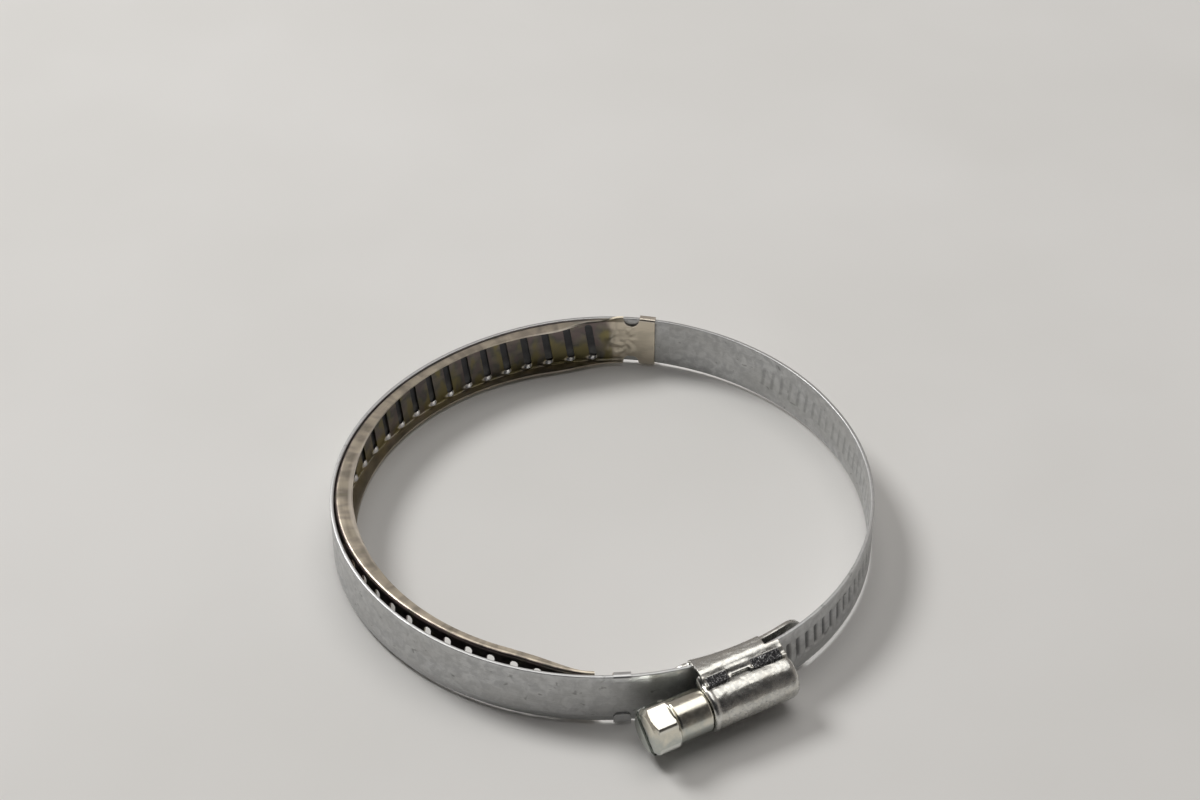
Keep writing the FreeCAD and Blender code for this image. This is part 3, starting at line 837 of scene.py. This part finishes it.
def shell_stations():
    """(x, dome radius) from the lip at the collar to the closed end."""
    lip = ((0.0, 2.1), (0.0, 2.6), (0.0, 3.2), (0.04, 3.46), (0.16, 3.62), (0.34, 3.72),
           (0.6, 3.74), (0.85, 3.7), (1.05, 3.63), (1.3, 3.61))
    stations = [(SHELL_LEFT + x, radius) for x, radius in lip]
    for x in spaced(SHELL_LEFT + 1.6, SHELL_RIGHT - DOME_CORNER, 0.35):
        share = (x - SHELL_LEFT) / (SHELL_RIGHT - SHELL_LEFT)
        stations.append((x, DOME_R - DOME_SWELL + DOME_SWELL * math.sin(math.pi * share)))
    top = stations[-1][1]
    for i in range(1, DOME_CORNER_STEPS + 1):
        a = math.pi / 2 * i / DOME_CORNER_STEPS
        stations.append((SHELL_RIGHT - DOME_CORNER * (1 - math.sin(a)),
                         top - DOME_CORNER * (1 - math.cos(a))))
    for radius in (2.0, 1.3, 0.6, 0.02):
        stations.append((SHELL_RIGHT, radius))
    return stations


def make_shell(metal):
    sheet = Sheet()
    rows = []
    for x, radius in shell_stations():
        row = []
        dent = 0.025 * noise.noise(Vector((x * 0.5, 3.1, 0.0)))
        for index, (z, d) in enumerate(shell_profile(radius, dent)):
            rough = 0.03 * noise.noise(Vector((x * 0.55, z * 0.5, d * 0.5)))
            point = housing_point(x, d + rough, z)
            # Painted highlight: the lip by the collar is lightened.
            wear_and_sheen = 1.0 if x < SHELL_LEFT + 1.0 else 0.0
            row.append(sheet.add(point, x, index * 0.3, 0.0, wear_and_sheen))
        rows.append(row)
    sheet.grid(rows)
    piece = sheet.build("housing_dome", merge=0)
    thicken(piece, SHELL_T, offset=-1.0, bevel=0.08)
    finish_piece(piece, metal)
    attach(piece, "housing")
    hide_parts("housing_shell")


def leaf_distance(x):
    """Distance in the housing frame of the saddle leaf, an arc about the hoop centre."""
    c, s = math.cos(LEAN), math.sin(LEAN)
    b = TAIL_LIFT * c
    rest = x * x + TAIL_LIFT ** 2 - 2 * TAIL_LIFT * x * s - SADDLE_MID_R ** 2
    return -b + math.sqrt(b * b - rest)


def hem_edge(x):
    """Where the folded hem ends: two long teeth with a step between them."""
    left = between(HEM_STEP_LEFT, HEM_STEP_LEFT + HEM_STEP_SLOPE, x)
    right = 1 - between(HEM_STEP_RIGHT - HEM_STEP_SLOPE, HEM_STEP_RIGHT, x)
    return lerp(HEM_TOOTH_D, HEM_STEP_D, min(left, right))


def staked(x):
    """1 inside the two rough patches pressed into the hem's teeth."""
    first = between(-8.2, -7.7, x) * (1 - between(-4.6, -4.2, x))
    second = between(-0.6, -0.2, x) * (1 - between(4.4, 4.9, x))
    return max(first, second)


def wall_profile(x):
    """(z, d, staked mask) from the leaf round the wall and the fold to the hem's edge."""
    leaf = leaf_distance(x)
    points = []
    for i in range(1, 5):
        a = math.radians(22.5 * i)
        points.append((LEAF_WALL_HALF + WALL_BEND * math.sin(a),
                       leaf + WALL_BEND * (1 - math.cos(a)), 0.0))
    fold = [(WALL_Z, 41.2), (WALL_Z, 41.6), (WALL_Z, 41.95), (4.88, 42.3), (4.8, 42.6),
            (4.66, 42.9), (HEM_BASE_Z, HEM_BASE_D)]
    points += [(z, d, 0.0) for z, d in fold]
    edge = hem_edge(x)
    for i in range(1, 11):
        d = lerp(HEM_BASE_D, edge, i / 10)
        out = (d - HEM_BASE_D) / HEM_REACH
        z = lerp(HEM_BASE_Z, HEM_TIP_Z, 0.9 * smooth(out) + 0.1 * out)
        points.append((z, d, between(43.2, 43.5, d) * staked(x)))
    return points


def leaf_half_width(x):
    """Half the leaf's width: wider between the walls, with a rounded end each way."""
    half = LEAF_WALL_HALF if WALL_LEFT <= x <= WALL_RIGHT else LEAF_HALF
    reach = min(x - LEAF_LEFT, LEAF_RIGHT - x)
    if reach < LEAF_ROUND:
        half = LEAF_HALF * math.sqrt(max(0.0, 1 - (1 - reach / LEAF_ROUND) ** 2))
    return half


def add_leaf(sheet, stations):
    columns = [lerp(-1.0, 1.0, i / 14) for i in range(15)]
    rows = []
    for x in stations:
        half = leaf_half_width(x)
        d = leaf_distance(x)
        rows.append([sheet.add(housing_point(x, d, half * c), x, half * c, 0.0,
                               between(0.85, 1.0, abs(c))) for c in columns])
    sheet.grid(rows)


def add_wall(sheet, stations, side):
    """One side wall with its hem. Past the wall's right end only the fold and hem go on."""
    fold_start = 7
    rows = []
    for x in stations + spaced(WALL_RIGHT, HEM_RIGHT, WALL_STEP)[1:]:
        profile = wall_profile(x)
        if x > WALL_RIGHT + 0.01:
            profile = profile[fold_start:]
        else:
            profile = [(LEAF_WALL_HALF, leaf_distance(x), 0.0)] + profile
        row = []
        for index, (z, d, mask) in enumerate(profile):
            grit = noise.noise(Vector((x * 3.1, d * 4.3, side * 7.0)))
            z -= mask * (STAKE_DEPTH + STAKE_GRIT * abs(grit))
            # Painted sheen: the fold from the wall to the hem is lightened.
            shine = 1.0 if 41.9 < d < 43.0 else 0.0
            row.append(sheet.add(housing_point(x, d, side * z), x, index * 0.2 * side,
                                 mask, shine))
        rows.append(row)
    split = len(stations)
    sheet.grid(rows[:split])
    sheet.grid([rows[split - 1][fold_start + 1:]] + rows[split:])


def make_saddle(metal):
    sheet = Sheet()
    wall = spaced(WALL_LEFT, WALL_RIGHT, WALL_STEP)
    stations = spaced(LEAF_LEFT + 0.02, WALL_LEFT, LEAF_STEP)[:-1] + wall
    stations += spaced(WALL_RIGHT, LEAF_RIGHT - 0.02, LEAF_STEP)[1:]
    add_leaf(sheet, stations)
    for side in (1, -1):
        add_wall(sheet, wall, side)
    piece = sheet.build("housing_saddle_plate", merge=0.01)
    thicken(piece, SADDLE_T, bevel=0.07)
    finish_piece(piece, metal)
    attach(piece, "housing")
    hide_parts("housing_saddle")


# Materials ------------------------------------------------------------------

class Finish:
    """A node material with a few short calls for building it."""

    def __init__(self, name):
        self.material = bpy.data.materials.new(name)
        self.material.use_nodes = True
        self.tree = self.material.node_tree
        self.shader = self.tree.nodes["Principled BSDF"]
        self.coordinates = self.add("ShaderNodeTexCoord")

    def add(self, kind, settings=(), **inputs):
        node = self.tree.nodes.new(kind)
        for key, value in settings:
            setattr(node, key, value)
        for key, value in inputs.items():
            self.put(node.inputs[key.replace("_", " ")], value)
        return node

    def put(self, socket, value):
        """Link a node's output to the socket, or set its value."""
        if isinstance(value, bpy.types.NodeSocket):
            self.tree.links.new(value, socket)
        else:
            socket.default_value = value

    def strip(self, along=1.0, across=1.0):
        """Coordinates laid along the strip, in units of 10 mm."""
        source = self.add("ShaderNodeUVMap", [("uv_map", "strip")]).outputs["UV"]
        return self.add("ShaderNodeMapping", Vector=source,
                        Scale=(along, across, 1.0)).outputs["Vector"]

    def across(self):
        """Distance across the strip from its middle, in units of 10 mm."""
        split = self.add("ShaderNodeSeparateXYZ", Vector=self.strip())
        return split.outputs["Y"]

    def solid(self, scale=(1.0, 1.0, 1.0)):
        """Coordinates fixed to the piece, in units of 1 mm."""
        source = self.coordinates.outputs["Object"]
        return self.add("ShaderNodeMapping", Vector=source,
                        Scale=[1000 * s for s in scale]).outputs["Vector"]

    def noise(self, vector, scale, detail=4.0, rough=0.55, warp=0.0):
        node = self.add("ShaderNodeTexNoise", Vector=vector, Scale=scale, Detail=detail,
                        Roughness=rough, Distortion=warp)
        return node.outputs["Fac"]

    def mask(self, name):
        """A mask painted on the mesh."""
        return self.add("ShaderNodeAttribute", [("attribute_name", name)]).outputs["Fac"]

    def fit(self, value, low, high, to_low=0.0, to_high=1.0):
        """A smooth step of the value from one range to another."""
        node = self.add("ShaderNodeMapRange", [("interpolation_type", "SMOOTHSTEP")],
                        Value=value, From_Min=low, From_Max=high, To_Min=to_low,
                        To_Max=to_high)
        return node.outputs["Result"]

    def sum(self, a, b, operation="ADD"):
        """Two values added, or joined by another operation."""
        node = self.add("ShaderNodeMath", [("operation", operation)])
        self.put(node.inputs[0], a)
        self.put(node.inputs[1], b)
        return node.outputs[0]

    def blend(self, share, a, b):
        node = self.add("ShaderNodeMix", [("data_type", "RGBA")])
        self.put(node.inputs["Factor"], share)
        for socket, value in ((node.inputs[6], a), (node.inputs[7], b)):
            self.put(socket, value if isinstance(value, bpy.types.NodeSocket) else (*value, 1))
        return node.outputs[2]

    def bump(self, height, distance, below=None):
        node = self.add("ShaderNodeBump", Height=height, Distance=distance * MM, Strength=1.0)
        if below is not None:
            self.put(node.inputs["Normal"], below)
        return node.outputs["Normal"]

    def finish(self, colour, roughness, normal, metallic=1.0):
        self.put(self.shader.inputs["Base Color"], colour)
        self.put(self.shader.inputs["Roughness"], roughness)
        self.put(self.shader.inputs["Normal"], normal)
        self.shader.inputs["Metallic"].default_value = metallic
        return self.material


def galvanised_band():
    """Dull zinc with fine mottling, rolling streaks and bright edges; grooves darkened as dirt
    and painted shade, inner face behind the liner as painted shade.
    """
    f = Finish("galvanised_band")
    fine = f.noise(f.strip(), 38.0, 5.0, 0.65)
    spangle = f.noise(f.strip(), 7.0, 4.0, 0.6, 0.6)
    cloud = f.noise(f.strip(0.5, 1.0), 1.6, 3.0)
    streak = f.noise(f.strip(0.1, 8.0), 6.0, 3.0, 0.6)
    stain_and_light = f.noise(f.strip(1.0, 1.4), 5.5, 2.0, 0.5, 0.4)
    colour = f.blend(f.fit(spangle, 0.36, 0.66), (0.49, 0.495, 0.50), (0.62, 0.625, 0.625))
    colour = f.blend(f.fit(cloud, 0.36, 0.66, 0.0, 0.6), colour, (0.50, 0.50, 0.49))
    colour = f.blend(f.fit(streak, 0.5, 0.75, 0.0, 0.4), colour, (0.38, 0.385, 0.385))
    colour = f.blend(f.fit(fine, 0.42, 0.7, 0.0, 0.3), colour, (0.60, 0.61, 0.62))
    colour = f.blend(f.fit(stain_and_light, 0.66, 0.74, 0.0, 0.6), colour, (0.22, 0.22, 0.215))
    # Dirt and painted shade in the grooves, and painted shade behind the liner, darken towards
    # near black.
    colour = f.blend(f.fit(f.mask("press_and_shade"), 0.1, 0.9, 0.0, 0.93), colour, (0.055, 0.055, 0.06))
    colour = f.blend(f.fit(f.mask("wear_and_sheen"), 0.2, 1.0, 0.0, 0.3), colour, (0.64, 0.65, 0.66))
    rough = f.fit(spangle, 0.3, 0.7, 0.56, 0.46)
    rough = f.sum(rough, f.fit(f.mask("wear_and_sheen"), 0.2, 1.0, 0.0, -0.08))
    normal = f.bump(spangle, 0.006)
    normal = f.bump(streak, 0.006, normal)
    normal = f.bump(fine, 0.003, normal)
    return f.finish(colour, rough, normal)


def stainless_liner():
    """Warm satin strip: its web painted darker as painted shade with heat tints, its edges
    rubbed bright, near tabs lightened as a painted highlight, painted glints below the slots.
    """
    f = Finish("stainless_liner")
    tint = f.noise(f.strip(1.0, 1.8), 2.4, 2.0, 0.5, 0.3)
    other = f.noise(f.strip(1.6, 0.8), 2.6, 2.0, 0.5, 0.2)
    grain = f.noise(f.strip(0.15, 7.0), 9.0, 4.0, 0.6)
    fine = f.noise(f.strip(), 55.0, 4.0, 0.6)
    tone = f.sum(other, f.sum(f.across(), -0.32, "MULTIPLY"))
    light = f.blend(f.fit(tint, 0.38, 0.62), (0.55, 0.495, 0.40), (0.66, 0.59, 0.48))
    light = f.blend(f.fit(grain, 0.5, 0.72, 0.0, 0.25), light, (0.36, 0.32, 0.27))
    dark = f.blend(f.fit(tint, 0.4, 0.6), (0.14, 0.135, 0.12), (0.22, 0.195, 0.165))
    dark = f.blend(f.fit(tone, 0.46, 0.68, 0.0, 0.9), dark, (0.26, 0.225, 0.105))
    dark = f.blend(f.fit(tone, 0.5, 0.34, 0.0, 0.75), dark, (0.19, 0.148, 0.148))
    web = f.sum(f.mask("press_and_shade"), f.fit(other, 0.35, 0.65, -0.12, 0.12))
    # Painted shade: the web, and partly the flanges and tabs, take the dark colour.
    colour = f.blend(f.fit(web, 0.15, 0.65), light, dark)
    colour = f.blend(f.fit(f.mask("wear_and_sheen"), 0.3, 1.0, 0.0, 0.6), colour, (0.78, 0.72, 0.64))
    # Bare grey on the near tabs, lightened as a painted highlight.
    colour = f.blend(f.fit(f.mask("wear_and_sheen"), 1.2, 1.9), colour, (0.62, 0.625, 0.63))
    # Painted glint below each slot.
    colour = f.blend(f.fit(f.mask("wear_and_sheen"), 2.1, 2.7), colour, (0.95, 0.93, 0.90))
    rough = f.fit(grain, 0.35, 0.65, 0.28, 0.4)
    normal = f.bump(grain, 0.002)
    normal = f.bump(fine, 0.0012, normal)
    normal = f.bump(tint, 0.03, normal)
    return f.finish(colour, rough, normal)


def zinc_housing():
    """Bright zinc plate with shallow dents, scuffs, rough staked patches painted near black
    with painted glints, and painted sheen on the fold and the lip.
    """
    f = Finish("zinc_housing")
    dent = f.noise(f.solid((0.6, 1.0, 1.0)), 0.5, 2.0, 0.45, 0.3)
    ripple = f.noise(f.solid(), 1.3, 1.5, 0.4)
    mottle = f.noise(f.solid(), 1.9, 3.0, 0.5)
    fine = f.noise(f.solid(), 8.0, 2.0, 0.5)
    scuff = f.noise(f.solid((0.5, 4.0, 4.0)), 1.7, 3.0, 0.6)
    colour = f.blend(f.fit(mottle, 0.38, 0.64), (0.55, 0.55, 0.53), (0.67, 0.66, 0.62))
    colour = f.blend(f.fit(dent, 0.5, 0.68, 0.0, 0.35), colour, (0.64, 0.61, 0.55))
    colour = f.blend(f.fit(scuff, 0.55, 0.75, 0.0, 0.3), colour, (0.42, 0.43, 0.44))
    grit = f.noise(f.solid(), 4.2, 4.0, 0.7)
    patch = f.fit(f.mask("press_and_shade"), 0.25, 0.8)
    # Staked patches are painted near black, with near-white grains as painted glints.
    dark = f.blend(f.fit(grit, 0.54, 0.62), (0.08, 0.08, 0.085), (0.85, 0.86, 0.87))
    colour = f.blend(patch, colour, dark)
    # Wear on the leaf's edges, and painted sheen on the fold and the lip by the collar.
    colour = f.blend(f.fit(f.mask("wear_and_sheen"), 0.3, 1.0, 0.0, 0.4), colour, (0.80, 0.80, 0.77))
    rough = f.fit(mottle, 0.35, 0.7, 0.29, 0.2)
    rough = f.sum(rough, f.sum(patch, 0.2, "MULTIPLY"))
    normal = f.bump(dent, 0.14)
    normal = f.bump(ripple, 0.014, normal)
    normal = f.bump(fine, 0.0006, normal)
    normal = f.bump(f.sum(grit, patch, "MULTIPLY"), 0.5, normal)
    return f.finish(colour, rough, normal)


def zinc_screw():
    """Zinc with a faint yellow-green passivation, painted lighter and creamier on its upper
    side and darker below as painted light and shade, turning marks and bright corners.
    """
    f = Finish("zinc_screw")
    tint = f.noise(f.solid(), 0.45, 3.0, 0.5, 0.3)
    mottle = f.noise(f.solid(), 1.6, 2.0, 0.5)
    fine = f.noise(f.solid(), 8.0, 2.0, 0.5)
    turned = f.noise(f.solid((6.0, 0.4, 0.4)), 1.6, 3.0, 0.6)
    # Painted light and shade over the passivation: creamy above, grey-green below.
    stain_and_light = f.sum(f.mask("press_and_shade"), f.sum(tint, -0.5))
    colour = f.blend(f.fit(stain_and_light, 0.55, 1.0), (0.52, 0.545, 0.515), (0.80, 0.765, 0.66))
    colour = f.blend(f.fit(mottle, 0.5, 0.7, 0.0, 0.35), colour, (0.68, 0.66, 0.56))
    colour = f.blend(f.fit(turned, 0.52, 0.74, 0.0, 0.2), colour, (0.52, 0.54, 0.51))
    colour = f.blend(f.fit(f.mask("wear_and_sheen"), 0.3, 1.0, 0.0, 0.4), colour, (0.86, 0.86, 0.82))
    rough = f.fit(mottle, 0.35, 0.7, 0.24, 0.16)
    normal = f.bump(mottle, 0.006)
    normal = f.bump(turned, 0.002, normal)
    normal = f.bump(fine, 0.0006, normal)
    return f.finish(colour, rough, normal)


# Stage ----------------------------------------------------------------------

# Where the camera looks, along the floor, and where it stands
VIEW = Vector((0.4648, 0.8854, 0.0)).normalized()
CAMERA_DISTANCE = 0.41226
CAMERA_ELEVATION = math.radians(42.242)
CAMERA_PITCH = math.radians(39.969)
SENSOR_WIDTH, LENS = 36.0, 78.05
FLOOR_SIZE = 8


def aim(thing, direction):
    """Turn a camera or a light to face along the direction."""
    thing.rotation_euler = direction.to_track_quat("-Z", "Y").to_euler()


def make_camera():
    data = bpy.data.cameras.new("camera")
    data.sensor_width = SENSOR_WIDTH
    data.lens = LENS
    data.clip_start = 0.01
    camera = bpy.data.objects.new("camera", data)
    bpy.context.scene.collection.objects.link(camera)
    camera.location = (-VIEW * CAMERA_DISTANCE * math.cos(CAMERA_ELEVATION)
                       + Vector((0, 0, CAMERA_DISTANCE * math.sin(CAMERA_ELEVATION))))
    aim(camera, VIEW * math.cos(CAMERA_PITCH) - Vector((0, 0, math.sin(CAMERA_PITCH))))
    bpy.context.scene.camera = camera


def soft_light(name, right, ahead, up, size, energy, colour):
    """An area light placed by where it stands as the camera sees the clamp."""
    data = bpy.data.lights.new(name, "AREA")
    data.shape = "DISK"
    data.size = size
    data.energy = energy
    data.color = colour
    light = bpy.data.objects.new(name, data)
    bpy.context.scene.collection.objects.link(light)
    side = Vector((VIEW.y, -VIEW.x, 0.0))
    light.location = side * right + VIEW * ahead + Vector((0, 0, up))
    aim(light, -light.location)


def make_stage():
    bpy.ops.mesh.primitive_plane_add(size=FLOOR_SIZE, location=(0, 0, cad_low.z))
    floor = bpy.context.object
    floor.name = "floor"
    f = Finish("paper_floor")
    shade = f.noise(f.solid(), 0.012, 3.0)
    fibre = f.noise(f.solid(), 1.5, 3.0)
    colour = f.blend(f.fit(shade, 0.3, 0.7), (0.77, 0.765, 0.75), (0.81, 0.805, 0.795))
    floor.data.materials.append(f.finish(colour, 0.85, f.bump(fibre, 0.01), metallic=0.0))
    make_room()
    soft_light("ceiling", 0.15, 0.16, 1.0, 0.9, 3.0, (1.0, 0.985, 0.95))
    soft_light("key", -0.62, 0.45, 0.85, 0.42, 6.6, (1.0, 0.99, 0.97))


def make_room():
    """A dim warm room, darkest low down on the near side."""
    world = bpy.data.worlds.new("room")
    world.use_nodes = True
    tree = world.node_tree
    near = -VIEW * math.cos(CAMERA_ELEVATION) + Vector((0, 0, math.sin(CAMERA_ELEVATION)))
    dot = tree.nodes.new("ShaderNodeVectorMath")
    dot.operation = "DOT_PRODUCT"
    tree.links.new(tree.nodes.new("ShaderNodeTexCoord").outputs["Generated"], dot.inputs[0])
    dot.inputs[1].default_value = near
    shade = tree.nodes.new("ShaderNodeMapRange")
    shade.interpolation_type = "SMOOTHSTEP"
    tree.links.new(dot.outputs["Value"], shade.inputs["Value"])
    shade.inputs["From Min"].default_value = 0.25
    shade.inputs["From Max"].default_value = 0.85
    mix = tree.nodes.new("ShaderNodeMix")
    mix.data_type = "RGBA"
    tree.links.new(shade.outputs["Result"], mix.inputs["Factor"])
    mix.inputs[6].default_value = (0.30, 0.28, 0.265, 1)
    mix.inputs[7].default_value = (0.02, 0.02, 0.022, 1)
    tree.links.new(mix.outputs[2], tree.nodes["Background"].inputs["Color"])
    bpy.context.scene.world = world
    bpy.context.scene.view_settings.view_transform = "Standard"


def main():
    make_camera()
    make_stage()
    galvanised = galvanised_band()
    make_plain_band(galvanised)
    make_threaded_band(galvanised)
    make_liner(stainless_liner())
    make_screw(zinc_screw())
    zinc = zinc_housing()
    make_shell(zinc)
    make_saddle(zinc)


main()
